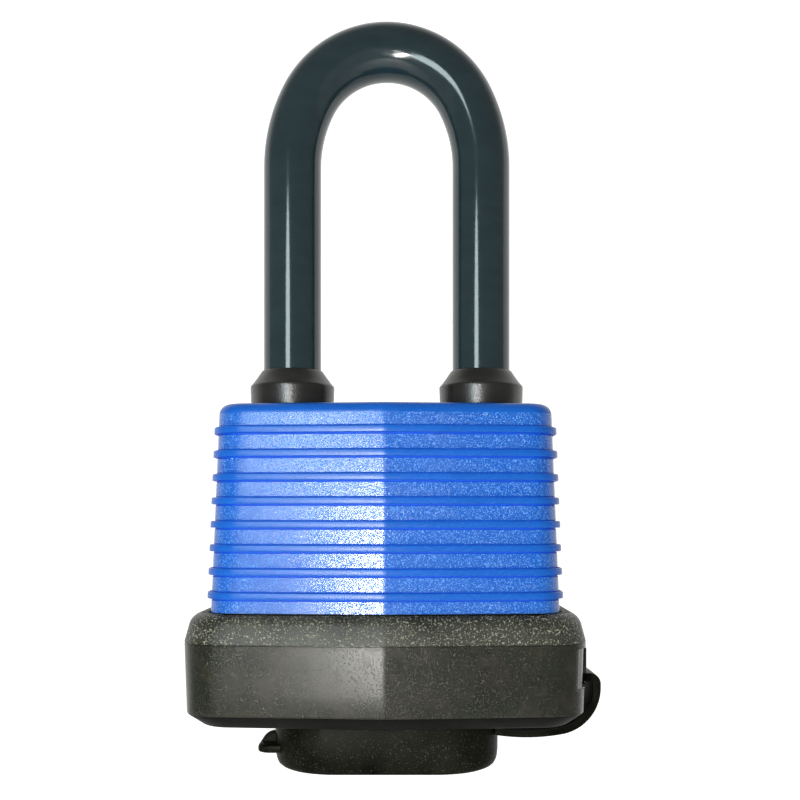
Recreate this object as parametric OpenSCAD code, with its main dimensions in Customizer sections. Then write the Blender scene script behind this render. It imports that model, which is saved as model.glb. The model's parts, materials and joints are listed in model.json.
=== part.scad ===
// Covered laminated padlock with a long sleeved shackle.
// The origin is the centre of the key cap's flat bottom. +Z points to the shackle's bow, the lock's
// width lies along X, its front faces -Y, and the toe leg of the shackle is on the -X side.
// At rest the shackle is pushed home and the plug stands at its released position.

/* [Shackle] */
// Distance between the centres of the two legs
leg_spacing = 29; // [28:0.5:29.5]
// Diameter of the hardened steel rod
rod_d = 7.1; // [6.9:0.1:7.2]
// Outer diameter of the plastic sleeve on the rod
sleeve_d = 8.8; // [8.4:0.1:9]
// Height of the bow's crown above the key cap's bottom
shackle_top = 114; // [85:1:125]
// Radius of the rod's centreline over the crown of the bow
crown_r = 13.5; // [12.8:0.1:13.9]
// Radius of the rod's centreline at the shoulders of the bow
shoulder_r = 23; // [20:1:30]

/* [Core] */
// Half the width of the plates
core_x = 21.4; // [21.2:0.1:21.5]
// Half the depth of the plates
core_y = 10; // [9.8:0.1:10]
// How far each bolt moves
bolt_travel = 1.8; // [1.7:0.1:1.8]
// Radius of the key plug
plug_r = 6.35; // [6.2:0.05:6.35]

/* [Cover] */
// Half the width of the cover at its top
cover_x = 24.3; // [24.1:0.1:24.5]
// Half the depth of the cover's corners at its top
cover_corner_y = 11.9; // [11.8:0.1:12.1]
// Half the depth of the cover's centre ridge at its top
cover_ridge_y = 14.1; // [13.6:0.1:14.4]
// Growth of each side for each millimetre down
cover_draft = 0.036; // [0.02:0.002:0.04]
// Number of ribs round the cover
rib_count = 8; // [5:1:8]
// Distance from rib to rib
rib_pitch = 3.4; // [3.2:0.1:3.4]
// Height of one rib
rib_height = 1; // [0.8:0.1:1.2]
// How far a rib stands out
rib_out = 0.6; // [0.4:0.05:0.8]

/* [Base] */
// Half the width of the base cover
base_x = 29.1; // [28.9:0.1:29.3]
// Half the depth of the base cover's corners
base_corner_y = 15; // [14.8:0.1:15.4]
// Half the depth of the base cover's centre ridge
base_ridge_y = 17.4; // [17:0.1:17.8]
// Height of the base cover's top edge
base_top = 24.3; // [24:0.1:24.6]

/* [Key cap] */
// Half the width of the key cap
cap_x = 17.1; // [16.9:0.1:17.2]
// Half the depth of the key cap
cap_y = 8.3; // [8.2:0.1:8.5]
// Width of the strap
strap_w = 8; // [6:0.5:9]
// Thickness of the strap
strap_t = 1.3; // [1.2:0.1:1.4]

/* [Hidden] */

$fn = 64;
arc_steps = 8;        // segments in one rounded outline corner
skin = 0.01;          // thickness of the slices that a tapered solid is spanned between
through = 1;          // how far a cutter runs past the face that it opens
gap = 0.02;           // gap between solids that touch in one body
run = 0.05;           // radial clearance of a running fit
seam = 0.01;          // step in radius where the bow's pieces meet

rod_r = rod_d / 2;
sleeve_r = sleeve_d / 2;
leg_x = leg_spacing / 2;
lift = 22;            // how far the shackle rises when it is released
plate_pitch = 2.5;    // thickness of one steel plate with its gap to the next

// Heights of the covers
base_floor = 7.9;
base_wall = 2.6;
cover_top = 54.5;
cover_bottom = 12;
cover_wall = 2.5;
cover_corner_r = 4.2;
ridge_r = 5;
first_rib = 50.6;

// The stack of plates
core_bottom = base_floor + base_wall;
plate_count = 16;
core_top = core_bottom + plate_count * plate_pitch;
core_corner_r = 4;
leg_bore_r = rod_r + run;
function plate_z(i) = core_bottom + i * plate_pitch;
rivet_r = 1.5;
rivet_at = [17.4, 7.6];
latch_level = 13;                          // index of the plate that holds the bolts
latch_z = plate_z(latch_level) + plate_pitch / 2;
toe_end = 39.5;
heel_end = 19;
window_y = 4;                              // half the depth of the bolts' window

// The cylinder
cylinder_z = plate_z(1);
cylinder_h = 7 * plate_pitch;
cylinder_r = 7.6;
chamber_x = 13.6;                          // how far the pin chambers' block reaches from the axis
chamber_y = 3;
pin_r = 1.35;
pin_pitch = 3.6;
first_pin_z = 16.3;
function pin_z(i) = first_pin_z + (i - 1) * pin_pitch;
key_pin_h = [2.6, 3.2, 2.9, 3.5];          // one height for each key pin, a bitting of no known key
driver_h = 2.6;
keyway_w = 2.2;
keyway_h = 7.6;
tail_r = 2.5;
cam_pin_r = 0.8;
cam_pin_at = bolt_travel / 2;              // the drive pin's offset along X and along Y at rest

// The seals
seal_r = 6.4;
seal_edge = 58.1;
seal_top = 60.5;
seal_bore_r = sleeve_r + run;
seal_neck_r = 5.3;

// The key cap and its boss
cap_top = 7.7;
cap_wall = 1.3;
cap_floor = 1.6;
boss_gap = 0.5;
boss_end = 3;
boss_wall = 1.3;
boss_x = cap_x - cap_wall - boss_gap;
boss_y = cap_y - cap_wall - boss_gap;

// The strap runs level under the base, round a wide bend and a tight one, and into the lug
bend_at = [25.2, 12.35];
bend_r = 6.5;
hinge_angle = -60;                         // where along the wide bend the cap swings
hinge_at = bend_at + bend_r * [cos(hinge_angle), sin(hinge_angle)];
hook_r = 1;
hook_up = 0.55;                            // straight stretch between the two bends
hook_at = bend_at + [bend_r - hook_r, hook_up];
sag_r = 30;
sag_end = -80;
sag_at = bend_at + (bend_r - sag_r) * [cos(sag_end), sin(sag_end)];
sag_left = 25;                             // degrees of the sagging stretch

// ---- outlines ----

function unit(v) = v / norm(v);

// The arc that rounds corner b of the corner a, b, c
function corner_arc(a, b, c, r) =
  let(
    u = unit(a - b),
    v = unit(c - b),
    half = acos(u * v) / 2,
    centre = b + unit(u + v) * (r / sin(half)),
    from = b + u * (r / tan(half)) - centre,
    to = b + v * (r / tan(half)) - centre,
    start = atan2(from.y, from.x),
    turn = (atan2(to.y, to.x) - start + 540) % 360 - 180
  )
  [for (i = [0:arc_steps])
    let (angle = start + turn * i / arc_steps)
    centre + r * [cos(angle), sin(angle)]];

function rounded(points, radii) =
  let(n = len(points))
  [for (i = [0:n - 1]) each corner_arc(points[(i + n - 1) % n], points[i], points[(i + 1) % n], radii[i])];

// A box outline whose front and back rise to a ridge at the centre
function roof_outline(x, corner_y, ridge_y, corner_r) = rounded(
  [[-x, -corner_y], [0, -ridge_y], [x, -corner_y], [x, corner_y], [0, ridge_y], [-x, corner_y]],
  [corner_r, ridge_r, corner_r, corner_r, ridge_r, corner_r]
);

function box_outline(x, y, r) = rounded([[-x, -y], [x, -y], [x, y], [-x, y]], [r, r, r, r]);

function stadium(x, y) = box_outline(x, y, y - 0.001);

// The cover's outline at height z, grown by out
function cover_outline(z, out = 0) =
  let(grow = (cover_top - z) * cover_draft + out)
  roof_outline(cover_x + grow, cover_corner_y + grow, cover_ridge_y + grow, cover_corner_r + out);

function base_outline(out) =
  roof_outline(base_x + out, base_corner_y + out, base_ridge_y + out, 5.6 + out / 2);

// Points along an arc, for the strap
function arc(centre, r, a, b, n = 12) =
  [for (i = [0:n]) centre + r * [cos(a + (b - a) * i / n), sin(a + (b - a) * i / n)]];

module slice(z, outline) translate([0, 0, z]) linear_extrude(skin) polygon(outline);

// A solid spanned between two outlines
module taper(z0, outline0, z1, outline1) hull() {
  slice(z0, outline0);
  slice(z1 - skin, outline1);
}

module prism(z0, z1, outline) translate([0, 0, z0]) linear_extrude(z1 - z0) polygon(outline);

module bore(x, y, r, z0, z1) translate([x, y, z0]) cylinder(r = r, h = z1 - z0);

// A wire coil of given mean radius and length along +Z, its ends closed and flat enough to sit
module coil(mean_r, wire_r, length, turns, sides = 6, steps = 14) {
  rings = turns * steps;
  rise = length - 2 * wire_r;
  points = [
    for (i = [0:rings], s = [0:sides - 1])
      let(
        a = 360 * i / steps,
        b = 360 * s / sides,
        r = mean_r + wire_r * cos(b)
      )
      [r * cos(a), r * sin(a), wire_r + rise * i / rings + wire_r * sin(b)]
  ];
  walls = [
    for (i = [0:rings - 1], s = [0:sides - 1])
      let(t = (s + 1) % sides, p = i * sides)
      [p + s, p + sides + s, p + sides + t, p + t]
  ];
  ends = [
    [for (s = [0:sides - 1]) s],
    [for (s = [sides - 1:-1:0]) rings * sides + s]
  ];
  polyhedron(points, concat(walls, ends), convexity = 8);
}

// ---- shackle ----

// Half the bow's opening angle that the shoulders take
shoulder_turn = acos((shoulder_r - leg_x) / (shoulder_r - crown_r));
crown_z = shackle_top - sleeve_r - crown_r;
shoulder_z = crown_z - (shoulder_r - crown_r) * sin(shoulder_turn);

// A round bar of radius r bent to the shackle's shape, with its legs' ends at the given heights
module bow_bar(r, toe_z, heel_z) {
  translate([0, 0, crown_z]) rotate([90, 0, 0]) rotate([0, 0, shoulder_turn])
    rotate_extrude(angle = 180 - 2 * shoulder_turn) translate([crown_r, 0]) circle(r = r);
  for (side = [0, 1]) mirror([side, 0, 0])
    translate([leg_x - shoulder_r, 0, shoulder_z]) rotate([90, 0, 0])
      rotate_extrude(angle = shoulder_turn) translate([shoulder_r, 0]) circle(r = r + seam);
  translate([-leg_x, 0, toe_z]) cylinder(r = r, h = shoulder_z - toe_z);
  translate([leg_x, 0, heel_z]) cylinder(r = r, h = shoulder_z - heel_z);
}

notch_depth = 1.6;
notch_h = plate_pitch + 0.1;
neck_h = 2.6;
neck_z = latch_z - lift;
flat_x = leg_x + rod_r - 0.9;              // the flat that the stop pin runs along

// A chamfered ring that is cut off the end of a leg
module leg_chamfer(x, z) translate([x, 0, z - through]) difference() {
  cylinder(r = rod_r + through, h = through + 1.2);
  translate([0, 0, through]) cylinder(r1 = rod_r - 1.2, r2 = rod_r + 0.3, h = 1.5);
  translate([0, 0, -through]) cylinder(r = rod_r - 1.2, h = 3 * through);
}

module shackle() color("silver") difference() {
  bow_bar(rod_r, toe_end, heel_end);
  // locking notches on the inner side of both legs
  for (side = [-1, 1])
    translate([side * (leg_x - rod_r + notch_depth / 2 - through), 0, latch_z])
      cube([notch_depth + 2 * through, 2 * rod_d, notch_h], center = true);
  // neck that lets the lifted shackle turn on its heel
  translate([leg_x, 0, neck_z - neck_h / 2]) difference() {
    cylinder(r = rod_r + through, h = neck_h);
    translate([0, 0, -through]) cylinder(r = rod_r - notch_depth - 0.05, h = neck_h + 2 * through);
  }
  translate([flat_x, -rod_d, neck_z - neck_h / 2]) cube([rod_d, 2 * rod_d, lift + neck_h]);
  leg_chamfer(-leg_x, toe_end);
  leg_chamfer(leg_x, heel_end);
}

sleeve_end = core_top + 0.3;

module shackle_sleeve() color([0.10, 0.13, 0.14]) difference() {
  bow_bar(sleeve_r, sleeve_end, sleeve_end);
  bow_bar(rod_r + gap, sleeve_end - through, sleeve_end - through);
}

module seal() rotate_extrude() polygon([
  [seal_bore_r, core_top + 0.1], [seal_r - 0.4, core_top + 0.1],
  [seal_r - 0.4, cover_top - cover_wall - gap], [seal_neck_r - run, cover_top - cover_wall - gap],
  [seal_neck_r - run, cover_top + gap], [seal_r - 0.15, cover_top + gap],
  [seal_r, seal_edge], [sleeve_r + 0.25, seal_top], [seal_bore_r, seal_top]
]);
module toe_seal() color([0.08, 0.08, 0.08]) translate([-leg_x, 0, 0]) seal();
module heel_seal() color([0.08, 0.08, 0.08]) translate([leg_x, 0, 0]) seal();

// ---- cover and base ----

bead_z = 14;
bead_h = 1.2;
bead_out = 0.35;
cover_fit = 0.12;                          // gap between the cover's skirt and the base
core_pocket = box_outline(core_x + 0.15, core_y + 0.15, core_corner_r + 0.15);

module cover() color([0.10, 0.35, 0.88]) difference() {
  union() {
    taper(cover_bottom, cover_outline(cover_bottom), cover_top - 1.5, cover_outline(cover_top - 1.5));
    taper(cover_top - 1.5, cover_outline(cover_top - 1.5), cover_top - 0.5, cover_outline(cover_top, -0.4));
    taper(cover_top - 0.5, cover_outline(cover_top, -0.4), cover_top, cover_outline(cover_top, -1.3));
    for (i = [0:rib_count - 1])
      let(z = first_rib - i * rib_pitch)
        prism(z - rib_height / 2, z + rib_height / 2, cover_outline(z, rib_out));
    prism(bead_z - bead_h / 2, bead_z + bead_h / 2, cover_outline(bead_z, bead_out));
  }
  prism(cover_bottom - through, cover_top - cover_wall, core_pocket);
  for (side = [-1, 1])
    bore(side * leg_x, 0, seal_neck_r, cover_top - cover_wall - through, cover_top + through);
}

lug_x = 30;
lug_y = 5.2;
lug_z = [12.6, 18.8];
slot_h = strap_t + 0.2;
split_z = base_top - 4.3;                  // where the base's upper band starts
recess_x = 27.6;
recess_z = [13.3, 19.2];
recess_depth = 0.3;

module lug() translate([0, 0, lug_z[0]]) linear_extrude(lug_z[1] - lug_z[0])
  polygon([[base_x - 2, -lug_y], [lug_x - 0.4, -lug_y], [lug_x, -lug_y + 0.4],
           [lug_x, lug_y - 0.4], [lug_x - 0.4, lug_y], [base_x - 2, lug_y]]);

// A shallow step round the base's right end
module side_recess() difference() {
  prism(recess_z[0], recess_z[1], base_outline(through));
  prism(recess_z[0] - through, recess_z[1] + through, base_outline(-recess_depth));
  translate([-2 * base_x, -2 * base_ridge_y, 0]) cube([2 * base_x + recess_x, 4 * base_ridge_y, cover_top]);
}

module base_shell() difference() {
  union() {
    taper(base_floor, base_outline(-2.7), base_floor + 2, base_outline(-0.35));
    taper(base_floor + 2, base_outline(-0.35), split_z, base_outline(0));
    taper(split_z, base_outline(0), base_top - 1.4, base_outline(-0.75));
    taper(base_top - 1.4, base_outline(-0.75), base_top, base_outline(-2.3));
  }
  side_recess();
}

module base_cover() color([0.14, 0.14, 0.13]) difference() {
  union() {
    base_shell();
    prism(boss_end, base_floor + through, stadium(boss_x, boss_y));
    lug();
  }
  taper(cover_bottom - 0.1, cover_outline(cover_bottom, cover_fit), base_top + through,
    cover_outline(base_top + through, cover_fit));
  prism(bead_z - bead_h / 2 - 0.1, bead_z + bead_h / 2 + 0.1, cover_outline(bead_z, bead_out + 0.15));
  prism(core_bottom - gap, cover_bottom, core_pocket);
  prism(boss_end - through, core_bottom, stadium(boss_x - boss_wall, boss_y - boss_wall));
  translate([27.6, -strap_w / 2 - 0.1, hook_at.y + hook_r - slot_h / 2]) cube([9, strap_w + 0.2, slot_h]);
}

// ---- key cap and strap ----

tab_x = 19.4;
tab_y = 4.5;
tab_z = [2.6, 3.8];
tab_web_top = 5.3;

module key_cap() color([0.14, 0.14, 0.13]) {
  difference() {
    hull() {
      slice(0, stadium(cap_x - 1.5, cap_y - 0.6));
      slice(0.4, stadium(cap_x - 0.8, cap_y - 0.28));
      slice(1.5, stadium(cap_x - 0.2, cap_y - 0.07));
      slice(cap_top - skin, stadium(cap_x, cap_y));
    }
    prism(cap_floor, cap_top + through, stadium(cap_x - cap_wall, cap_y - cap_wall));
  }
  // finger tab with a web over it
  translate([0, 0, tab_z[0]]) linear_extrude(tab_z[1] - tab_z[0]) difference() {
    translate([-tab_x, -tab_y]) square([tab_x - cap_x + 1, 2 * tab_y]);
    square([2 * cap_x - 1.6, 4 * tab_y], center = true);
  }
  rotate([90, 0, 0]) translate([0, 0, -1]) linear_extrude(2) polygon(concat(
    [[-cap_x + 0.7, tab_z[0] + 0.1]], [[-tab_x, tab_z[0] + 0.1]],
    arc([-tab_x + 2.4, tab_web_top - 2.4], 2.4, 180, 100, 8), [[-cap_x + 0.7, tab_web_top]]
  ));
}

// A band of the strap's thickness along a line of points
function band(line) = concat(
  [for (i = [0:len(line) - 1]) line[i] + side_of(line, i) * strap_t / 2],
  [for (i = [len(line) - 1:-1:0]) line[i] - side_of(line, i) * strap_t / 2]
);
function side_of(line, i) =
  let(d = unit(line[min(i + 1, len(line) - 1)] - line[max(i - 1, 0)])) [-d.y, d.x];

module strap(line) rotate([90, 0, 0]) translate([0, 0, -strap_w / 2])
  linear_extrude(strap_w) polygon(band(line));

hinge_gap = 7.6;                           // degrees of the bend left open for the tail to swing
tail_line = concat(
  arc(sag_at, sag_r, sag_end - sag_left + 6, sag_end, 10),
  arc(bend_at, bend_r, sag_end + 3, hinge_angle - hinge_gap, 3)
);
bead_r = strap_t / 2 + 0.05;
anchor_line = concat(
  arc(bend_at, bend_r, hinge_angle, 0, 12),
  arc(hook_at, hook_r, 12, 90, 8),
  [[27.8, hook_at.y + hook_r]]
);

module strap_tail() color([0.14, 0.14, 0.13]) difference() {
  strap(tail_line);
  prism(-through, cap_top + through, stadium(cap_x, cap_y));
}
module strap_anchor() color([0.14, 0.14, 0.13]) {
  strap(anchor_line);
  // bead on the hinge line
  translate([hinge_at.x, strap_w / 2, hinge_at.y]) rotate([90, 0, 0]) cylinder(r = bead_r, h = strap_w);
}

// ---- plates of the core ----

// One plate, with what the children cut out of it
module plate(i) difference() {
  prism(plate_z(i), plate_z(i + 1) - gap, box_outline(core_x, core_y, core_corner_r));
  for (x = [-1, 1], y = [-1, 1])
    bore(x * rivet_at.x, y * rivet_at.y, rivet_r + gap, plate_z(i) - through, plate_z(i + 1) + through);
  children();
}

module plate_bore(i, x, r) bore(x, 0, r, plate_z(i) - through, plate_z(i + 1) + through);

module cylinder_shape(out) union() {
  circle(r = cylinder_r + out);
  translate([-chamber_x - out, -chamber_y - out]) square([chamber_x + out, 2 * (chamber_y + out)]);
}

face_r = 5;                                // radius of the plug's face in the bottom plate

module bottom_plate() color("lightsteelblue") plate(0) plate_bore(0, 0, face_r + run);

module cylinder_plates() color("lightsteelblue") for (i = [1:7]) plate(i) {
  translate([0, 0, plate_z(i) - through]) linear_extrude(plate_pitch + 2 * through) cylinder_shape(0.05);
  plate_bore(i, leg_x, leg_bore_r);
}

module spacer_plates() color("lightsteelblue") for (i = [8:10]) plate(i) {
  plate_bore(i, 0, tail_r + run);
  plate_bore(i, leg_x, leg_bore_r);
}

module toe_plates() color("lightsteelblue") for (i = [11:12]) plate(i) {
  plate_bore(i, 0, tail_r + run);
  plate_bore(i, leg_x, leg_bore_r);
  plate_bore(i, -leg_x, leg_bore_r);
}

stop_pin_r = 0.9;
stop_pin_x = flat_x + stop_pin_r + 0.08;
stop_pin_y = 5.6;

module latch_plate() color("lightsteelblue") plate(latch_level) {
  plate_bore(latch_level, leg_x, leg_bore_r);
  plate_bore(latch_level, -leg_x, leg_bore_r);
  translate([0, 0, latch_z])
    cube([2 * leg_x, 2 * (window_y + 0.05), plate_pitch + 2 * through], center = true);
  translate([stop_pin_x, 0, latch_z])
    cube([2 * (stop_pin_r + gap), 2 * (stop_pin_y + gap), plate_pitch + 2 * through], center = true);
}

module guide_plate() color("lightsteelblue") plate(14)
  for (side = [-1, 1]) plate_bore(14, side * leg_x, leg_bore_r);

module top_plate() color("lightsteelblue") plate(15)
  for (side = [-1, 1]) plate_bore(15, side * leg_x, leg_bore_r);

module rivets() color("gray") for (x = [-1, 1], y = [-1, 1])
  bore(x * rivet_at.x, y * rivet_at.y, rivet_r, core_bottom, core_top - gap);

// ---- cylinder ----

module cylinder_body() color("goldenrod") difference() {
  translate([0, 0, cylinder_z]) linear_extrude(cylinder_h - gap) difference() {
    cylinder_shape(0);
    circle(r = plug_r + run);
  }
  for (i = [1:4]) translate([-plug_r + through, 0, pin_z(i)]) rotate([0, -90, 0])
    cylinder(r = pin_r + run, h = chamber_x - plug_r + 2 * through);
  chamber_seat(gap, strip_t + through);
}

strip_t = 0.6;
strip_y = pin_r + 0.8;
strip_z = [pin_z(1) - pin_r - 0.6, pin_z(4) + pin_r + 0.6];

// The flat seat over the chambers' mouths, reaching depth in from where it starts
module chamber_seat(out, depth) translate([-chamber_x + strip_t - depth, -strip_y - out, strip_z[0] - out])
  cube([depth, 2 * (strip_y + out), strip_z[1] - strip_z[0] + 2 * out]);

// The strip that closes the pin chambers
module pin_chamber_cover() color("goldenrod") chamber_seat(0, strip_t - gap);

module plug() color("goldenrod") difference() {
  union() {
    bore(0, 0, face_r, core_bottom + 0.3, cylinder_z + through);
    bore(0, 0, plug_r, cylinder_z + gap, cylinder_z + cylinder_h - gap);
  }
  // keyway, open towards the back
  translate([-keyway_w / 2, plug_r - 1.2 - keyway_h, core_bottom - through])
    cube([keyway_w, keyway_h, cylinder_h + plate_pitch - 2]);
  for (i = [1:4]) translate([0, 0, pin_z(i)]) rotate([90, 0, 0])
    cylinder(r = pin_r + run, h = plug_r + through);
  // slot that takes the cam's tongue
  translate([0, 0, cylinder_z + cylinder_h]) cube([3 * plug_r, 2.1, 3], center = true);
}

cam_top = plate_z(latch_level + 1) - 0.2;

module cam() color("silver") {
  bore(0, 0, tail_r, plate_z(8) + gap, plate_z(latch_level) - 0.05);
  translate([0, 0, plate_z(8) - 0.7]) cube([2 * tail_r - 0.4, 2, 1.5], center = true);
  for (side = [-1, 1])
    bore(side * cam_pin_at, -side * cam_pin_at, cam_pin_r, plate_z(latch_level) - 0.1, cam_top);
}

// ---- bolts ----

bolt_h = 2.3;
bolt_tip = leg_x - rod_r - 0.25;           // the retracted tip's distance from the centre
bolt_heel = 6;
arm_end = 3.2;

module bolt() translate([0, 0, latch_z - bolt_h / 2]) linear_extrude(bolt_h) difference() {
  union() {
    polygon([[-bolt_heel, -window_y], [-bolt_heel, window_y], [-bolt_tip + 1.5, window_y], [-bolt_tip, 2],
             [-bolt_tip, -2], [-bolt_tip + 1.5, -window_y]]);
    translate([-bolt_heel - through, -window_y]) square([bolt_heel + through + arm_end, window_y - 0.1]);
  }
  translate([cam_pin_at - cam_pin_r - 0.1, -window_y + 1.4]) square([2 * cam_pin_r + 0.2, window_y]);
}
module toe_bolt() color("silver") bolt();
module heel_bolt() color("silver") rotate([0, 0, 180]) bolt();

// A spring between one bolt's head and the other bolt's arm
module bolt_spring() translate([-bolt_heel + gap, 2, latch_z]) rotate([0, 90, 0])
  coil(0.8, 0.2, bolt_heel - arm_end - 2 * gap, 4);
module toe_bolt_spring() color("gainsboro") bolt_spring();
module heel_bolt_spring() color("gainsboro") rotate([0, 0, 180]) bolt_spring();

module stop_pin() color("silver") translate([stop_pin_x, stop_pin_y, latch_z]) rotate([90, 0, 0])
  cylinder(r = stop_pin_r, h = 2 * stop_pin_y);

module shackle_spring() color("gainsboro") translate([leg_x, 0, plate_z(1) + gap])
  coil(2.3, 0.45, heel_end - plate_z(1) - 2 * gap, 4, 8, 18);

// ---- pins ----

module key_pin(i) color("goldenrod") translate([0, -plug_r + key_pin_h[i - 1] + gap, pin_z(i)])
  rotate([90, 0, 0]) cylinder(r = pin_r, h = key_pin_h[i - 1] - 0.05);

module driver_pin(i) color("silver") translate([-plug_r - run - gap, 0, pin_z(i)]) rotate([0, -90, 0])
  cylinder(r = pin_r, h = driver_h);

module pin_spring(i) color("gainsboro")
  translate([-plug_r - run - 2 * gap - driver_h, 0, pin_z(i)]) rotate([0, -90, 0])
    coil(0.85, 0.18, chamber_x - plug_r - driver_h - strip_t - run - 4 * gap, 5);

// ---- what is drawn ----

cover();
base_cover();
toe_seal();
heel_seal();
key_cap();
strap_tail();
strap_anchor();
shackle();
shackle_sleeve();
bottom_plate();
cylinder_plates();
spacer_plates();
toe_plates();
latch_plate();
guide_plate();
top_plate();
rivets();
cylinder_body();
pin_chamber_cover();
plug();
cam();
toe_bolt();
heel_bolt();
toe_bolt_spring();
heel_bolt_spring();
stop_pin();
shackle_spring();
for (i = [1:4]) {
  key_pin(i);
  driver_pin(i);
  pin_spring(i);
}
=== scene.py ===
import bpy
import json
import math
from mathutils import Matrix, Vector


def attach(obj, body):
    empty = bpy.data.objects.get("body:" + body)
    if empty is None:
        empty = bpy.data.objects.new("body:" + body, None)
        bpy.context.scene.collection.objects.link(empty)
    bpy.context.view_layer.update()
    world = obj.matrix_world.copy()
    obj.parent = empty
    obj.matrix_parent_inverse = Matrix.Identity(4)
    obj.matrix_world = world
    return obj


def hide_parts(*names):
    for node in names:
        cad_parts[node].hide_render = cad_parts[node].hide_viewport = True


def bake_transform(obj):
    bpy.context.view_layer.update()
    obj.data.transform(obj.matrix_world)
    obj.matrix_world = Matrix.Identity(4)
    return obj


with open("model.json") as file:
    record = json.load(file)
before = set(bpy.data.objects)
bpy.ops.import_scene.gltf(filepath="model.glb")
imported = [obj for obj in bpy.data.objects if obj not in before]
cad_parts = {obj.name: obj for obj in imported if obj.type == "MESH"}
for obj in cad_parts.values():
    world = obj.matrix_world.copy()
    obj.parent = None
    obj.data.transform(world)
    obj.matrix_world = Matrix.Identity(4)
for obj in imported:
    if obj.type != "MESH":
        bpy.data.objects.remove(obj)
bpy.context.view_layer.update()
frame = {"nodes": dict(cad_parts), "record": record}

MM = 0.001

# ---------------------------------------------------------------- sizes, in millimetres

# Shackle: its legs' distance from the centre, its bow's crown and shoulder arcs, and its sleeve
LEG_X = 14.5
SLEEVE_R, SLEEVE_END, SLEEVE_TOP = 4.4, 50.8, 113.99
CROWN_R, SHOULDER_R = 13.5, 23.0
CROWN_Z = SLEEVE_TOP - SLEEVE_R - CROWN_R
SHOULDER_TURN = math.acos((SHOULDER_R - LEG_X) / (SHOULDER_R - CROWN_R))
SHOULDER_Z = CROWN_Z - (SHOULDER_R - CROWN_R) * math.sin(SHOULDER_TURN)

# Blue cover: half sizes at its top, growing downward by the draft, and its ribs
COVER_X, COVER_CORNER_Y, COVER_RIDGE_Y, COVER_CORNER_R = 24.3, 11.9, 14.1, 4.2
COVER_TOP, COVER_BOTTOM, COVER_DRAFT, COVER_EDGE_R = 54.5, 12.0, 0.036, 1.5
RIB_COUNT, RIB_PITCH, FIRST_RIB = 8, 3.4, 50.6

# Bumper base: half sizes, the height where its textures meet, the recess in its right end, the strap's lug
BASE_X, BASE_CORNER_Y, BASE_RIDGE_Y, BASE_CORNER_R = 29.1, 15.0, 17.4, 5.6
BASE_FLOOR, BASE_TOP, CHAMFER, SPLIT_Z = 7.9, 24.3, 2.0, 20.0
RECESS_X, RECESS_LOW, RECESS_HIGH, RECESS_DEPTH = 27.6, 13.3, 19.2, 0.3
LUG_IN, LUG_X, LUG_Y = 27.1, 30.0, 5.2

# Key cap with its finger tab, and the boss that the cap fits over
CAP_X, CAP_Y, CAP_TOP, CAP_WALL, CAP_FLOOR = 17.1, 8.3, 7.7, 1.3, 1.6
TAB_IN, TAB_MID, TAB_X, TAB_Y = 15.9, 17.0, 19.4, 4.5
BOSS_X, BOSS_Y, BOSS_END, BOSS_WALL = 15.3, 6.5, 3.0, 1.3

# Strap: its bend as centre (x, z) and radius, the shallow arc along the cap, its hook, and its section.
# Angles are in degrees round each arc's own centre, where 0 points to +X.
BEND_AT, BEND_R = (25.2, 12.35), 6.5
SAG_R, SAG_START, SAG_END = 30.0, -99.0, -80.0
HOOK_R, HOOK_UP, HOOK_END_X = 1.0, 0.55, 27.8
STRAP_W, STRAP_T, STRAP_EDGE_R = 8.0, 1.3, 0.3

# ---------------------------------------------------------------- mesh helpers


def make(name, verts, faces, body=None, smooth=40, mats=(), face_mats=None):
    """A mesh object from vertices in millimetres."""
    me = bpy.data.meshes.new(name)
    me.from_pydata([tuple(c * MM for c in v) for v in verts], [], faces)
    me.validate()
    for m in mats:
        me.materials.append(m)
    if face_mats:
        me.polygons.foreach_set("material_index", face_mats)
    ob = bpy.data.objects.new(name, me)
    bpy.context.scene.collection.objects.link(ob)
    me.shade_smooth()
    me.set_sharp_from_angle(angle=math.radians(smooth))
    if body:
        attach(ob, body)
    return ob


def arc2(centre, r, a, b, n):
    """n + 1 points on an arc, in degrees."""
    return [(centre[0] + r * math.cos(math.radians(a + (b - a) * i / n)),
             centre[1] + r * math.sin(math.radians(a + (b - a) * i / n))) for i in range(n + 1)]


def rounded(points, radii, steps):
    """The outline with each corner rounded to its radius."""
    out = []
    n = len(points)
    for i in range(n):
        a, b, c = (Vector(points[(i + k) % n]) for k in (-1, 0, 1))
        u, v = (a - b).normalized(), (c - b).normalized()
        half = math.acos(max(-1, min(1, u.dot(v)))) / 2
        centre = b + (u + v).normalized() * (radii[i] / math.sin(half))
        p = b + u * (radii[i] / math.tan(half)) - centre
        q = b + v * (radii[i] / math.tan(half)) - centre
        start = math.atan2(p.y, p.x)
        turn = (math.atan2(q.y, q.x) - start + math.pi * 3) % (2 * math.pi) - math.pi
        for k in range(steps[i] + 1):
            t = start + turn * k / steps[i]
            out.append((centre.x + radii[i] * math.cos(t), centre.y + radii[i] * math.sin(t)))
    return out


# Segments along each rounding of a roof outline, and along the straight run after it
ROOF_STEPS, ROOF_RUNS = [12, 6, 12] * 2, [16, 16, 12] * 2
ROOF_POINTS = sum(ROOF_STEPS) + sum(ROOF_RUNS)


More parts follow.
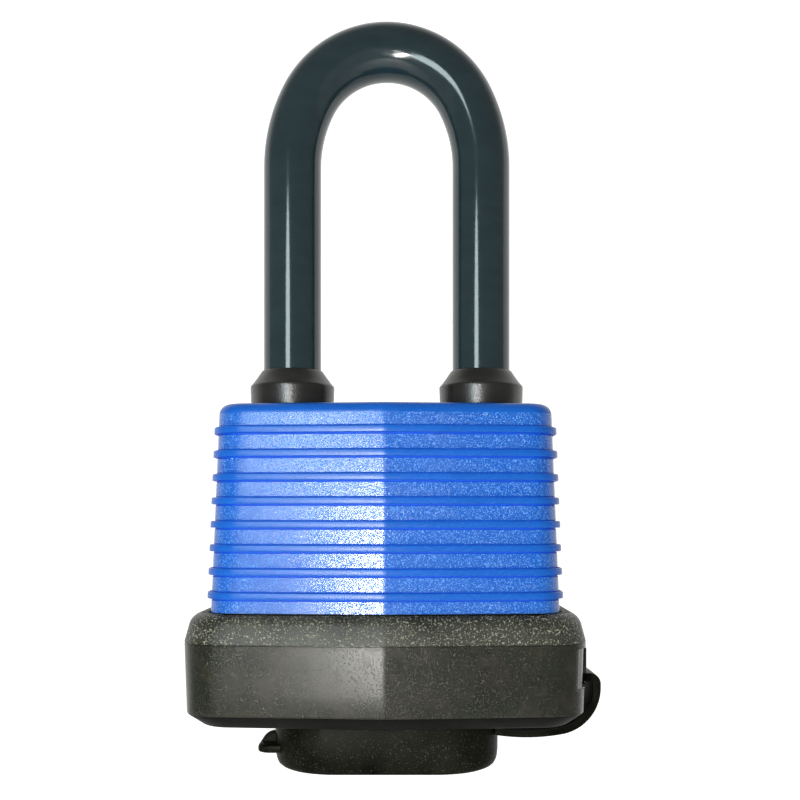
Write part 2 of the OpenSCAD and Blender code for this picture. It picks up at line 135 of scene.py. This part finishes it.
def roof(x, corner_y, ridge_y, corner_r, ridge_r=5.0):
    """A box outline whose front and back rise to a ridge, always with ROOF_POINTS points."""
    corners = [(-x, -corner_y), (0, -ridge_y), (x, -corner_y), (x, corner_y), (0, ridge_y), (-x, corner_y)]
    pts = rounded(corners, [corner_r, ridge_r, corner_r] * 2, ROOF_STEPS)
    out, last = [], -1
    for steps, run in zip(ROOF_STEPS, ROOF_RUNS):
        first, last = last + 1, last + 1 + steps
        out += pts[first:last]
        p, q = pts[last], pts[(last + 1) % len(pts)]
        out += [(p[0] + (q[0] - p[0]) * k / run, p[1] + (q[1] - p[1]) * k / run) for k in range(run)]
    return out


def cover_ring(z, out):
    """The cover's outline at height z, moved outward by out."""
    g = (COVER_TOP - z) * COVER_DRAFT + out
    outline = roof(COVER_X + g, COVER_CORNER_Y + g, COVER_RIDGE_Y + g, COVER_CORNER_R + out)
    return [(x, y, z) for x, y in outline]


def base_ring(z, out):
    """The base's outline at height z, moved outward by out."""
    outline = roof(BASE_X + out, BASE_CORNER_Y + out, BASE_RIDGE_Y + out, BASE_CORNER_R + out / 2)
    return [(x, y, z) for x, y in outline]


def stadium_ring(z, x, y):
    """A rounded slot outline. Its corners stop a hair short of y, so that no two points coincide."""
    corners = [(-x, -y), (x, -y), (x, y), (-x, y)]
    return [(a, b, z) for a, b in rounded(corners, [y - 0.01] * 4, [14] * 4)]


def loft(rings, cap_start=False, cap_end=False):
    """Vertices and faces that join rings of the same length."""
    n = len(rings[0])
    verts = [p for r in rings for p in r]
    faces = []
    for i in range(len(rings) - 1):
        for j in range(n):
            k = (j + 1) % n
            faces.append((i * n + j, i * n + k, (i + 1) * n + k, (i + 1) * n + j))
    if cap_start:
        faces.append(tuple(reversed(range(n))))
    if cap_end:
        faces.append(tuple(range((len(rings) - 1) * n, len(rings) * n)))
    return verts, faces


def spin(profile, cx, steps=72):
    """Rings of a profile of (radius, z) turned round a vertical axis at cx."""
    return [[(cx + r * math.cos(2 * math.pi * k / steps), r * math.sin(2 * math.pi * k / steps), z)
             for k in range(steps)] for r, z in profile]


def join(parts):
    """One list of vertices and one of faces, from several pairs of them."""
    verts, faces = [], []
    for v, f in parts:
        off = len(verts)
        verts += v
        faces += [tuple(k + off for k in face) for face in f]
    return verts, faces


# ---------------------------------------------------------------- materials


class Nodes:
    """A small builder for procedural materials in object coordinates, which are metres."""

    def __init__(self, name):
        self.mat = bpy.data.materials.new(name)
        self.mat.use_nodes = True
        self.tree = self.mat.node_tree
        self.bsdf = next(n for n in self.tree.nodes if n.type == "BSDF_PRINCIPLED")
        self.coord = self.node("ShaderNodeTexCoord").outputs["Object"]

    def node(self, kind, **settings):
        n = self.tree.nodes.new(kind)
        for k, v in settings.items():
            setattr(n, k, v)
        return n

    def link(self, a, b):
        self.tree.links.new(a, b)

    def put(self, node, socket, value):
        s = node.inputs[socket]
        if isinstance(value, bpy.types.NodeSocket):
            self.link(value, s)
        else:
            s.default_value = value

    def noise(self, size_mm, detail, rough, stretch=(1, 1, 1)):
        m = self.node("ShaderNodeMapping")
        self.link(self.coord, m.inputs["Vector"])
        m.inputs["Scale"].default_value = stretch
        n = self.node("ShaderNodeTexNoise")
        self.link(m.outputs["Vector"], n.inputs["Vector"])
        n.inputs["Scale"].default_value = 1 / (size_mm * MM)
        n.inputs["Detail"].default_value = detail
        n.inputs["Roughness"].default_value = rough
        return n.outputs["Fac"]

    def span(self, fac, lo, hi, a=0.0, b=1.0):
        n = self.node("ShaderNodeMapRange")
        self.link(fac, n.inputs["Value"])
        for k, v in (("From Min", lo), ("From Max", hi), ("To Min", a), ("To Max", b)):
            n.inputs[k].default_value = v
        return n.outputs["Result"]

    def math(self, op, a, b):
        n = self.node("ShaderNodeMath", operation=op)
        self.put(n, 0, a)
        self.put(n, 1, b)
        return n.outputs[0]

    def mix(self, fac, a, b):
        n = self.node("ShaderNodeMix", data_type="RGBA")
        self.put(n, 0, fac)
        self.put(n, 6, (*a, 1) if isinstance(a, tuple) else a)
        self.put(n, 7, (*b, 1) if isinstance(b, tuple) else b)
        return n.outputs[2]

    def bump(self, height, depth_mm):
        n = self.node("ShaderNodeBump")
        n.inputs["Strength"].default_value = 1.0
        n.inputs["Distance"].default_value = depth_mm * MM
        self.link(height, n.inputs["Height"])
        return n.outputs["Normal"]

    def edge(self):
        """1 on sharp outer edges, 0 elsewhere, from the geometry's pointiness."""
        g = self.node("ShaderNodeNewGeometry")
        return self.span(g.outputs["Pointiness"], 0.52, 0.60)

    def done(self, color, rough, normal=None, metal=0.0, **constants):
        self.put(self.bsdf, "Base Color", (*color, 1) if isinstance(color, tuple) else color)
        self.put(self.bsdf, "Roughness", rough)
        self.bsdf.inputs["Metallic"].default_value = metal
        if normal is not None:
            self.link(normal, self.bsdf.inputs["Normal"])
        for k, v in constants.items():
            self.bsdf.inputs[k.replace("_", " ")].default_value = v
        return self.mat


def textured_plastic(name, dark, light, grain_mm, depth_mm, rough, specular, glint_paint, share, tint=None):
    """Spark-eroded moulded plastic: small glossy grains over a matt body.

    share sets how much of the surface the grains cover, and the glint amount how far their tops are painted
    toward the light colour, as painted glints.
    """
    m = Nodes(name)
    cut = 0.72 - 0.4 * share
    tops = m.span(m.noise(grain_mm, 2.0, 0.55), cut, cut + 0.12)
    fine = m.noise(grain_mm * 0.45, 1.0, 0.5)
    blotch = m.noise(7.0, 3.0, 0.6)
    grain = m.math("ADD", m.math("MULTIPLY", tops, 0.8), m.math("MULTIPLY", fine, 0.3))
    shade = tuple(d + (l - d) * 0.08 for d, l in zip(dark, light))
    body = m.mix(m.span(blotch, 0.3, 0.7), dark, shade)
    if tint:
        body = m.mix(m.span(m.noise(3.5, 2.0, 0.6), 0.45, 0.75, 0.0, 0.5), body, tint)
    # Painted glints: the grain tops are painted toward the light colour.
    color = m.mix(m.math("MULTIPLY", tops, glint_paint), body, light)
    matt = m.span(blotch, 0.3, 0.7, rough - 0.01, rough + 0.02)
    roughness = m.math("SUBTRACT", matt, m.math("MULTIPLY", tops, 0.06))
    return m.done(color, roughness, m.bump(grain, depth_mm), Specular_IOR_Level=specular)


def smooth_plastic(name, dark, light, rough, specular, depth_mm=0.012, grain_mm=0.5):
    """Polished-mould plastic with faint flow marks, paler edges and handling marks."""
    m = Nodes(name)
    flow = m.noise(6.0, 3.0, 0.6, (1, 1, 3))
    fine = m.noise(grain_mm, 3.0, 0.6)
    scuff = m.noise(1.6, 6.0, 0.75, (1, 1, 6))
    color = m.mix(m.span(flow, 0.3, 0.7), dark, light)
    # Sharp outer edges are mixed a quarter of the way toward a paler colour.
    paler_edge = tuple(min(1, c * 1.6 + 0.01) for c in light)
    color = m.mix(m.math("MULTIPLY", m.edge(), 0.25), color, paler_edge)
    handled = m.span(scuff, 0.35, 0.75, rough - 0.03, rough + 0.06)
    roughness = m.math("ADD", handled, m.math("MULTIPLY", fine, 0.04))
    return m.done(color, roughness, m.bump(fine, depth_mm), Specular_IOR_Level=specular)


def turned_metal(name, dark, light, rough, stretch):
    """Metal with fine tool marks along one direction and mottled plating."""
    m = Nodes(name)
    lines = m.noise(0.25, 4.0, 0.7, stretch)
    mottle = m.noise(3.0, 4.0, 0.6)
    color = m.mix(m.span(mottle, 0.3, 0.7), dark, light)
    color = m.mix(m.math("MULTIPLY", m.span(lines, 0.55, 0.7), 0.4), color, dark)
    return m.done(color, m.span(lines, 0.3, 0.7, rough - 0.05, rough + 0.1), m.bump(lines, 0.01), metal=1.0)


# In the grained materials the second colour is that of the painted glints on the grain tops.
blue_grain = textured_plastic("BlueGrain", (0.002, 0.070, 0.37), (0.07, 0.28, 0.70), grain_mm=0.20,
                              depth_mm=0.026, rough=0.17, specular=0.6, glint_paint=0.8, share=0.5)
blue_rib = smooth_plastic("BlueRib", (0.003, 0.072, 0.34), (0.006, 0.085, 0.40), rough=0.24, specular=0.28,
                          depth_mm=0.018, grain_mm=0.20)
# Painted shade: a deeper, less glossy blue for the grooves and side faces of the ribs, where shade falls.
blue_groove_shade = smooth_plastic("BlueGrooveShade", (0.003, 0.070, 0.50), (0.004, 0.080, 0.56), rough=0.5, specular=0.15)
black_coarse = textured_plastic("BlackCoarse", (0.005, 0.005, 0.003), (0.42, 0.425, 0.32), grain_mm=0.24,
                                depth_mm=0.095, rough=0.36, specular=0.34, glint_paint=0.8, share=0.42)
black_fine = textured_plastic("BlackFine", (0.006, 0.007, 0.004), (0.060, 0.063, 0.043), grain_mm=0.20,
                              depth_mm=0.013, rough=0.27, specular=0.34, glint_paint=0.5, share=0.40,
                              tint=(0.024, 0.018, 0.010))
black_smooth = smooth_plastic("BlackSmooth", (0.002, 0.002, 0.0015), (0.004, 0.004, 0.003), rough=0.42,
                              specular=0.05)
cap_rubber = textured_plastic("CapRubber", (0.001, 0.0012, 0.0006), (0.12, 0.12, 0.085), grain_mm=0.20,
                              depth_mm=0.024, rough=0.36, specular=0.03, glint_paint=0.6, share=0.24)
# Painted shade: a plain dark, matt copy of the cap's rubber for the strap's side that faces the base, where
# shade falls.
strap_inside_shade = smooth_plastic("StrapInsideShade", (0.004, 0.004, 0.003), (0.006, 0.006, 0.005), rough=0.7,
                              specular=0.1)
seal_rubber = smooth_plastic("SealRubber", (0.005, 0.005, 0.004), (0.012, 0.011, 0.009), rough=0.30,
                             specular=0.6, depth_mm=0.03, grain_mm=0.4)
vinyl = smooth_plastic("Vinyl", (0.010, 0.020, 0.024), (0.013, 0.025, 0.029), rough=0.09, specular=0.5,
                       depth_mm=0.004, grain_mm=1.2)
steel = turned_metal("Steel", (0.42, 0.42, 0.43), (0.62, 0.62, 0.63), 0.28, (1, 1, 0.08))
plate = turned_metal("PlateSteel", (0.30, 0.31, 0.32), (0.50, 0.50, 0.50), 0.38, (0.1, 1, 1))
brass = turned_metal("Brass", (0.42, 0.28, 0.08), (0.62, 0.44, 0.15), 0.30, (1, 1, 0.1))
wire = turned_metal("Wire", (0.40, 0.40, 0.42), (0.58, 0.58, 0.60), 0.30, (1, 1, 1))

# The metal nodes keep their CAD shape and take a material by their slot
BY_SLOT = {"hardened_steel": steel, "plate_steel": plate, "cylinder_brass": brass, "spring_steel": wire}
for sub in frame["record"]["subparts"]:
    mat = BY_SLOT.get(sub["material_slot"])
    if mat:
        ob = frame["nodes"][sub["node"]]
        ob.data.materials.clear()
        ob.data.materials.append(mat)

# ---------------------------------------------------------------- blue cover

# One rib as (height from its middle, distance out): the groove under it, its sharp lower edge, its flat
# front, its softer upper edge, and the finer groove above it
RIB_SECTION = [(-0.78, 0.0), (-0.70, -0.10), (-0.50, -0.10), (-0.50, 0.51), (-0.47, 0.57), (-0.40, 0.60),
               (0.34, 0.60), (0.42, 0.57), (0.48, 0.50), (0.50, 0.40), (0.50, -0.05), (0.60, -0.05),
               (0.64, 0.0)]
# The material of the band of faces above each point; the grooves and the ribs' side faces take the painted
# groove shade
GRAIN, RIB, GROOVE_SHADE = 0, 1, 2
RIB_BANDS = [GROOVE_SHADE] * 3 + [RIB] * 6 + [GROOVE_SHADE] * 3 + [GRAIN]

profile = [(COVER_BOTTOM, -2.5), (COVER_BOTTOM, -0.3), (COVER_BOTTOM + 0.3, 0.0), (BASE_TOP - 1.0, 0.0)]
bands = [GRAIN] * len(profile)
for i in reversed(range(RIB_COUNT)):
    profile += [(FIRST_RIB - i * RIB_PITCH + up, out) for up, out in RIB_SECTION]
    bands += RIB_BANDS
top_edge = arc2((-COVER_EDGE_R, COVER_TOP - COVER_EDGE_R), COVER_EDGE_R, 0, 90, 9)
profile += [(z, out) for out, z in top_edge]
rings = [cover_ring(z, out) for z, out in profile]
# The flat top: rings that shrink inward, so that its faces stay small
for inset in (2.6, 4.5, 7.0, 9.5):
    outline = roof(COVER_X - inset, max(COVER_CORNER_Y - inset, 1.5), max(COVER_RIDGE_Y - inset, 2.2),
                   max(COVER_CORNER_R - inset, 0.8), 1.0)
    rings.append([(x, y, COVER_TOP) for x, y in outline])
bands += [RIB] * (len(rings) - 1 - len(bands))
verts, faces = loft(rings, cap_end=True)
face_mats = [band for band in bands for _ in range(ROOF_POINTS)] + [RIB]
cover = make("blue_cover", verts, faces, "housing", 38, [blue_grain, blue_rib, blue_groove_shade], face_mats)
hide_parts("cover")

# ---------------------------------------------------------------- bumper base

COARSE, FINE, SMOOTH = 0, 1, 2
# Outlines as (height, distance out), below and above the recess
CHAMFER_RINGS = [(BASE_FLOOR, -3.0), (BASE_FLOOR + 0.05, -2.8), (BASE_FLOOR + 0.2, -2.5),
                 (BASE_FLOOR + 1.75, -0.55), (BASE_FLOOR + 1.95, -0.37), (BASE_FLOOR + 2.25, -0.33)]
SPLIT_RINGS = [(SPLIT_Z - 0.12, -0.02), (SPLIT_Z - 0.04, -0.09), (SPLIT_Z + 0.04, -0.09),
               (SPLIT_Z + 0.12, -0.02), (SPLIT_Z + 0.35, -0.06)]
SHOULDER_RINGS = [(BASE_TOP - 1.6, -0.66), (BASE_TOP - 1.15, -0.84), (BASE_TOP - 0.65, -1.2),
                  (BASE_TOP - 0.28, -1.65), (BASE_TOP - 0.08, -2.1), (BASE_TOP, -2.5)]
# The material of each band of faces: floor and chamfer, side up to the split, upper side, rim and inside
BASE_BANDS = [SMOOTH] * 4 + [FINE] * 8 + [COARSE] * 7 + [SMOOTH] * 4


def recessed(z, out):
    """The base's outline with its right end stepped in."""
    pairs = zip(base_ring(z, out), base_ring(z, out - RECESS_DEPTH))
    return [b if a[0] > RECESS_X and b[0] > RECESS_X - RECESS_DEPTH else a for a, b in pairs]


def side_out(z):
    """How far out the base's side stands at height z, between the chamfer and the split."""
    low = BASE_FLOOR + CHAMFER
    return -0.33 + 0.31 * (z - low) / (SPLIT_Z - low)


low_out, high_out = side_out(RECESS_LOW), side_out(RECESS_HIGH)
rings = [base_ring(z, out) for z, out in CHAMFER_RINGS + [(RECESS_LOW - 0.06, low_out)]]
rings += [recessed(RECESS_LOW + 0.02, low_out), recessed(RECESS_HIGH - 0.02, high_out)]
rings += [base_ring(z, out) for z, out in [(RECESS_HIGH + 0.06, high_out)] + SPLIT_RINGS + SHOULDER_RINGS]
# The rim runs in to the cover and down beside it
rings.append(cover_ring(BASE_TOP, 0.42))
rings.append([(x, y, BASE_TOP - 0.5) for x, y, _ in cover_ring(BASE_TOP, 0.22)])
rings.append(cover_ring(COVER_BOTTOM + 1, 0.12))
shell = loft(rings)
base_mats = [band for band in BASE_BANDS for _ in range(ROOF_POINTS)]

# The floor runs in to the boss's neck, so their points are matched by angle
floor_edge = rings[0]
angles = [math.atan2(p[1], p[0]) for p in floor_edge]


def at_angle(ring, angle):
    """The point where a ray from the centre meets a convex ring."""
    d = (math.cos(angle), math.sin(angle))
    best = None
    for i, p in enumerate(ring):
        q = ring[(i + 1) % len(ring)]
        ex, ey = q[0] - p[0], q[1] - p[1]
        den = d[0] * ey - d[1] * ex
        if abs(den) < 1e-12:
            continue
        t = (p[0] * ey - p[1] * ex) / den
        s = (p[0] * d[1] - p[1] * d[0]) / den
        if t > 0 and -1e-6 <= s <= 1 + 1e-6:
            best = t
    return (d[0] * best, d[1] * best)


def boss_ring(z, out):
    """The boss's outline at height z, moved outward by out, with its points at the floor's angles."""
    ring = stadium_ring(0, BOSS_X + out, BOSS_Y + out)
    return [(*at_angle(ring, a), z) for a in angles]


bv, bf = loft([floor_edge] + [boss_ring(z, out) for z, out in (
    (BASE_FLOOR, 4.0), (BASE_FLOOR, 0.35), (BASE_FLOOR - 0.3, 0.0), (BOSS_END + 0.25, 0.0), (BOSS_END, -0.25),
    (BOSS_END, 0.2 - BOSS_WALL), (BOSS_END + 0.2, -BOSS_WALL), (BASE_FLOOR + 2, -BOSS_WALL))])
bf = [tuple(reversed(f)) for f in bf]

# The lug that holds the strap's end and the sill below it, both as (height, inset)
LUG_SECTION = [(14.65, 0.3), (14.7, 0.1), (14.85, 0.0), (18.4, 0.0), (18.7, 0.12), (18.8, 0.4)]
SILL_SECTION = [(12.6, 0.25), (12.68, 0.08), (12.8, 0.0), (13.1, 0.0), (13.15, 0.05)]
lug_outline = rounded([(LUG_IN, -LUG_Y), (LUG_X, -LUG_Y), (LUG_X, LUG_Y), (LUG_IN, LUG_Y)],
                      [0.1, 0.4, 0.4, 0.1], [2, 6, 6, 2])


def lug_block(section):
    rings = [[(x - inset, y * (1 - inset / LUG_Y), z) for x, y in lug_outline] for z, inset in section]
    return loft(rings, True, True)


lug, sill = lug_block(LUG_SECTION), lug_block(SILL_SECTION)
verts, faces = join([shell, (bv, bf), lug, sill])
base_mats += [SMOOTH] * len(bf) + [FINE] * (len(lug[1]) + len(sill[1]))
base = make("bumper_base", verts, faces, "housing", 38, [black_coarse, black_fine, black_smooth], base_mats)
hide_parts("base_cover")

# ---------------------------------------------------------------- seals

# The seal's section as (radius, z)
SEAL = [(4.47, 51.0), (5.9, 51.0), (5.9, 54.3), (6.16, 54.42), (6.28, 54.7), (6.33, 55.4), (6.42, 57.7),
        (6.43, 57.95), (6.37, 58.12), (6.22, 58.26), (5.5, 59.2), (4.95, 60.0), (4.72, 60.34), (4.62, 60.44),
        (4.52, 60.48), (4.46, 60.42), (4.45, 60.2), (4.45, 51.0)]
for name, node, x in (("toe_seal_ring", "toe_seal", -LEG_X), ("heel_seal_ring", "heel_seal", LEG_X)):
    verts, faces = loft(spin(SEAL, x))
    faces = [tuple(reversed(f)) for f in faces]
    ob = make(name, verts, faces, "housing", 30, [seal_rubber])
    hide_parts(node)

# ---------------------------------------------------------------- sleeve

SLEEVE_SIDES = 48
# The sleeve's rounded end as (radius, height above SLEEVE_END)
END_SECTION = [(3.62, 0.18), (3.70, 0.05), (3.90, 0.0), (4.14, 0.07), (4.30, 0.24), (4.38, 0.48),
               (4.40, 0.75)]


def arc_path(centre, r, a, b, n):
    """Points (x, z) on an arc, each with the heading of travel for falling angles."""
    return [(p, a + (b - a) * i / n - 90) for i, p in enumerate(arc2(centre, r, a, b, n))]


def bow_path(leg_steps=24):
    """Points (x, z) and headings along the shackle's centreline, from the toe to the heel."""
    turn = math.degrees(SHOULDER_TURN)
    leg = [SLEEVE_END + (SHOULDER_Z - SLEEVE_END) * i / leg_steps for i in range(leg_steps)]
    path = [((-LEG_X, z), 90.0) for z in leg]
    path += arc_path((SHOULDER_R - LEG_X, SHOULDER_Z), SHOULDER_R, 180, 180 - turn, 12)
    path += arc_path((0, CROWN_Z), CROWN_R, 180 - turn, turn, 40)[1:-1]
    path += arc_path((LEG_X - SHOULDER_R, SHOULDER_Z), SHOULDER_R, turn, 0, 12)
    return path + [((LEG_X, z), -90.0) for z in reversed(leg)]


def around(k):
    """Cosine and sine of the sleeve's k-th side."""
    return math.cos(2 * math.pi * k / SLEEVE_SIDES), math.sin(2 * math.pi * k / SLEEVE_SIDES)


def sweep(path, radius):
    """Rings round a path in the XZ plane."""
    rings = []
    for (x, z), heading in path:
        nx, nz = -math.sin(math.radians(heading)), math.cos(math.radians(heading))
        rings.append([(x + nx * radius * c, radius * s, z + nz * radius * c)
                      for c, s in map(around, range(SLEEVE_SIDES))])
    return rings


def end_ring(side, radius, up):
    """A ring of the sleeve's rounded end, on the toe leg for side -1 and the heel leg for side 1."""
    return [(side * (LEG_X + radius * c), radius * s, SLEEVE_END + up)
            for c, s in map(around, range(SLEEVE_SIDES))]


rings = [end_ring(-1, r, up) for r, up in END_SECTION]
rings += sweep(bow_path(), SLEEVE_R)[1:-1]
rings += [end_ring(1, r, up) for r, up in reversed(END_SECTION)]
verts, faces = loft(rings)
sleeve = make("vinyl_sleeve", verts, faces, "shackle", 50, [vinyl])
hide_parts("shackle_sleeve")

# ---------------------------------------------------------------- key cap

# The shell as (height, inset in x, inset in y): up the outside, over the rim and down the inside
CAP_SECTION = [
    (0.0, 2.6, 1.2), (0.02, 2.1, 0.85), (0.10, 1.6, 0.58), (0.30, 1.05, 0.36), (0.65, 0.6, 0.22),
    (1.15, 0.32, 0.12), (1.8, 0.15, 0.06), (2.8, 0.06, 0.03), (CAP_TOP - 0.35, 0.02, 0.02),
    (CAP_TOP - 0.12, 0.08, 0.08), (CAP_TOP, 0.25, 0.25), (CAP_TOP, CAP_WALL - 0.2, CAP_WALL - 0.2),
    (CAP_TOP - 0.2, CAP_WALL, CAP_WALL), (CAP_FLOOR + 0.4, CAP_WALL, CAP_WALL),
    (CAP_FLOOR + 0.1, CAP_WALL + 0.1, CAP_WALL + 0.1), (CAP_FLOOR, CAP_WALL + 0.4, CAP_WALL + 0.4)]
# The finger tab as (height, inset), and the web over it as (y, inset)
TAB_SECTION = [(2.6, 0.35), (2.72, 0.1), (2.95, 0.0), (3.45, 0.0), (3.7, 0.1), (3.8, 0.35)]
WEB_SECTION = [(-1.0, 0.25), (-0.8, 0.05), (-0.55, 0.0), (0.55, 0.0), (0.8, 0.05), (1.0, 0.25)]
WEB_IN, WEB_OUT, WEB_LOW, WEB_HIGH = 16.4, 19.3, 2.9, 5.3

shell = loft([stadium_ring(z, CAP_X - dx, CAP_Y - dy) for z, dx, dy in CAP_SECTION], True, True)
tab_outline = rounded([(-TAB_X, -TAB_Y), (-TAB_IN, -TAB_Y), (-TAB_IN, TAB_Y), (-TAB_X, TAB_Y)],
                      [1.6, 0.05, 0.05, 1.6], [6, 1, 1, 6])
tab = loft([[(x + d if x < -TAB_MID else x, y * (1 - d / TAB_Y), z) for x, y in tab_outline]
            for z, d in TAB_SECTION], True, True)
web_outline = [(-WEB_IN, WEB_LOW), (-WEB_OUT, WEB_LOW), *arc2((-TAB_MID, 2.95), 2.35, 175, 95, 8),
               (-WEB_IN, WEB_HIGH)]
web = loft([[(x + d if x < -TAB_MID else x, y, z - d if z > 3 else z) for x, z in web_outline]
            for y, d in WEB_SECTION], True, True)
verts, faces = join([shell, tab, web])
cap = make("soft_key_cap", verts, faces, "cap", 35, [cap_rubber])
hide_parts("key_cap")

# ---------------------------------------------------------------- strap

sag_at = (BEND_AT[0] + (BEND_R - SAG_R) * math.cos(math.radians(SAG_END)),
          BEND_AT[1] + (BEND_R - SAG_R) * math.sin(math.radians(SAG_END)))
hook_at = (BEND_AT[0] + BEND_R - HOOK_R, BEND_AT[1] + HOOK_UP)
line = arc2(sag_at, SAG_R, SAG_START, SAG_END, 16)[:-1] + arc2(BEND_AT, BEND_R, SAG_END, 0, 44)[:-1]
line += arc2(hook_at, HOOK_R, 0, 90, 16) + [(HOOK_END_X, hook_at[1] + HOOK_R)]
w, t = STRAP_W / 2, STRAP_T / 2
section = rounded([(-w, -t), (w, -t), (w, t), (-w, t)], [STRAP_EDGE_R] * 4, [4] * 4)
rings = []
for i, p in enumerate(line):
    a, b = line[max(i - 1, 0)], line[min(i + 1, len(line) - 1)]
    d = Vector((b[0] - a[0], b[1] - a[1])).normalized()
    n = (-d.y, d.x)
    rings.append([(p[0] + n[0] * up, y, p[1] + n[1] * up) for y, up in section])
verts, faces = loft(rings, True, True)
# The section's second half is the side that faces the base; it takes a darker, matt copy of the cap's rubber
# as painted shade
facing = range(len(section) // 2, len(section) - 1)
shaded_side = [1 if k % len(section) in facing else 0 for k in range(len(faces) - 2)] + [0, 0]
strap = make("cap_strap", verts, faces, None, 35, [cap_rubber, strap_inside_shade], shaded_side)
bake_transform(strap)
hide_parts("strap_tail", "strap_anchor")

# ---------------------------------------------------------------- stage, light, camera

# In metres. A floor that curves up into a wall well behind the lock.
FLOOR_Z, FLOOR_HALF, FLOOR_FRONT = -0.048, 4.0, -4.0
WALL_BEND_Y, WALL_BEND_R, WALL_TOP = 0.42, 0.2, 1.1
# The floor glows more and more with distance, as an overexposed backdrop does
GLOW_FROM_Y, GLOW_TO_Y, GLOW = 0.03, 0.18, 0.72

section = [(y, FLOOR_Z) for y in (FLOOR_FRONT, -1.0, 0.0, 0.12, 0.2, 0.3, WALL_BEND_Y)]
section += arc2((WALL_BEND_Y, FLOOR_Z + WALL_BEND_R), WALL_BEND_R, -84, 0, 14)
section += [(WALL_BEND_Y + WALL_BEND_R, z) for z in (0.5, WALL_TOP)]
verts = [(x / MM, y / MM, z / MM) for y, z in section for x in (-FLOOR_HALF, FLOOR_HALF)]
faces = [(2 * i, 2 * i + 1, 2 * i + 3, 2 * i + 2) for i in range(len(section) - 1)]
floor = make("floor", verts, faces)
ground = Nodes("Ground")
speck = ground.noise(40.0, 3.0, 0.5)
place = ground.node("ShaderNodeSeparateXYZ")
ground.link(ground.coord, place.inputs[0])
far = ground.span(place.outputs["Y"], GLOW_FROM_Y, GLOW_TO_Y, 0.0, GLOW)
ground.link(far, ground.bsdf.inputs["Emission Strength"])
paper = ground.mix(ground.span(speck, 0.3, 0.7), (0.80, 0.80, 0.79), (0.84, 0.84, 0.83))
floor.data.materials.append(
    ground.done(paper, 0.9, Emission_Color=(1.0, 1.0, 0.99, 1.0), Specular_IOR_Level=0.1))

# Soft surroundings, dim in front of the lock and bright behind it: (place from front to back, brightness)
SKY_STOPS, SKY_STRENGTH = ((0.0, 0.20), (0.5, 0.27), (0.8, 1.0)), 1.1
world = bpy.data.worlds.new("World")
bpy.context.scene.world = world
world.use_nodes = True
tree = world.node_tree
coord = tree.nodes.new("ShaderNodeTexCoord")
split = tree.nodes.new("ShaderNodeSeparateXYZ")
tree.links.new(coord.outputs["Generated"], split.inputs[0])
level = tree.nodes.new("ShaderNodeMapRange")
tree.links.new(split.outputs["Y"], level.inputs["Value"])
level.inputs["From Min"].default_value, level.inputs["From Max"].default_value = -1.0, 1.0
glow = tree.nodes.new("ShaderNodeValToRGB")
tree.links.new(level.outputs["Result"], glow.inputs["Fac"])
glow.color_ramp.elements.new(0.5)
for stop, (place_at, value) in zip(glow.color_ramp.elements, SKY_STOPS):
    stop.position = place_at
    stop.color = (value, value, value * 0.99, 1)
sky = tree.nodes["Background"]
tree.links.new(glow.outputs["Color"], sky.inputs["Color"])
sky.inputs["Strength"].default_value = SKY_STRENGTH


def area(name, at, look, size, power, color, shape="RECTANGLE"):
    data = bpy.data.lights.new(name, "AREA")
    data.shape = shape
    data.size, data.size_y = size
    data.energy = power
    data.color = color
    ob = bpy.data.objects.new(name, data)
    ob.location = at
    ob.rotation_euler = (Vector(look) - Vector(at)).to_track_quat("-Z", "Y").to_euler()
    bpy.context.scene.collection.objects.link(ob)


# The lights stand just behind the camera: a tall strip for the cover and base, a tall oval for the bow,
# and a small one for the bow's highlight
CAMERA_Y, LIGHT_Y = -0.174, -0.178
area("key", (-0.030, LIGHT_Y, 0.022), (-0.004, 0, 0.022), (0.007, 0.066), 0.30, (1.0, 0.98, 0.94))
area("side", (-0.055, LIGHT_Y, 0.090), (-0.01, 0, 0.090), (0.050, 0.096), 0.15, (0.78, 0.95, 1.0), "ELLIPSE")
area("bow", (-0.015, LIGHT_Y, 0.066), (0, 0, 0.105), (0.006, 0.006), 0.004, (1.0, 1.0, 1.0))

# The camera looks level and shifts its picture instead of tilting, so that upright edges stay upright
SENSOR, FOCAL_RATIO = 36, 1.4125
cam_data = bpy.data.cameras.new("camera")
cam_data.sensor_width = SENSOR
cam_data.lens = SENSOR * FOCAL_RATIO
cam_data.shift_x = -0.016
cam_data.shift_y = 0.151
cam_data.clip_start, cam_data.clip_end = 0.01, 20
cam = bpy.data.objects.new("camera", cam_data)
cam.location = (0.004, CAMERA_Y, 0.0375)
cam.rotation_euler = (math.radians(90), 0, 0)
bpy.context.scene.collection.objects.link(cam)
bpy.context.scene.camera = cam
bpy.context.scene.view_settings.view_transform = "Standard"

bpy.context.view_layer.update()
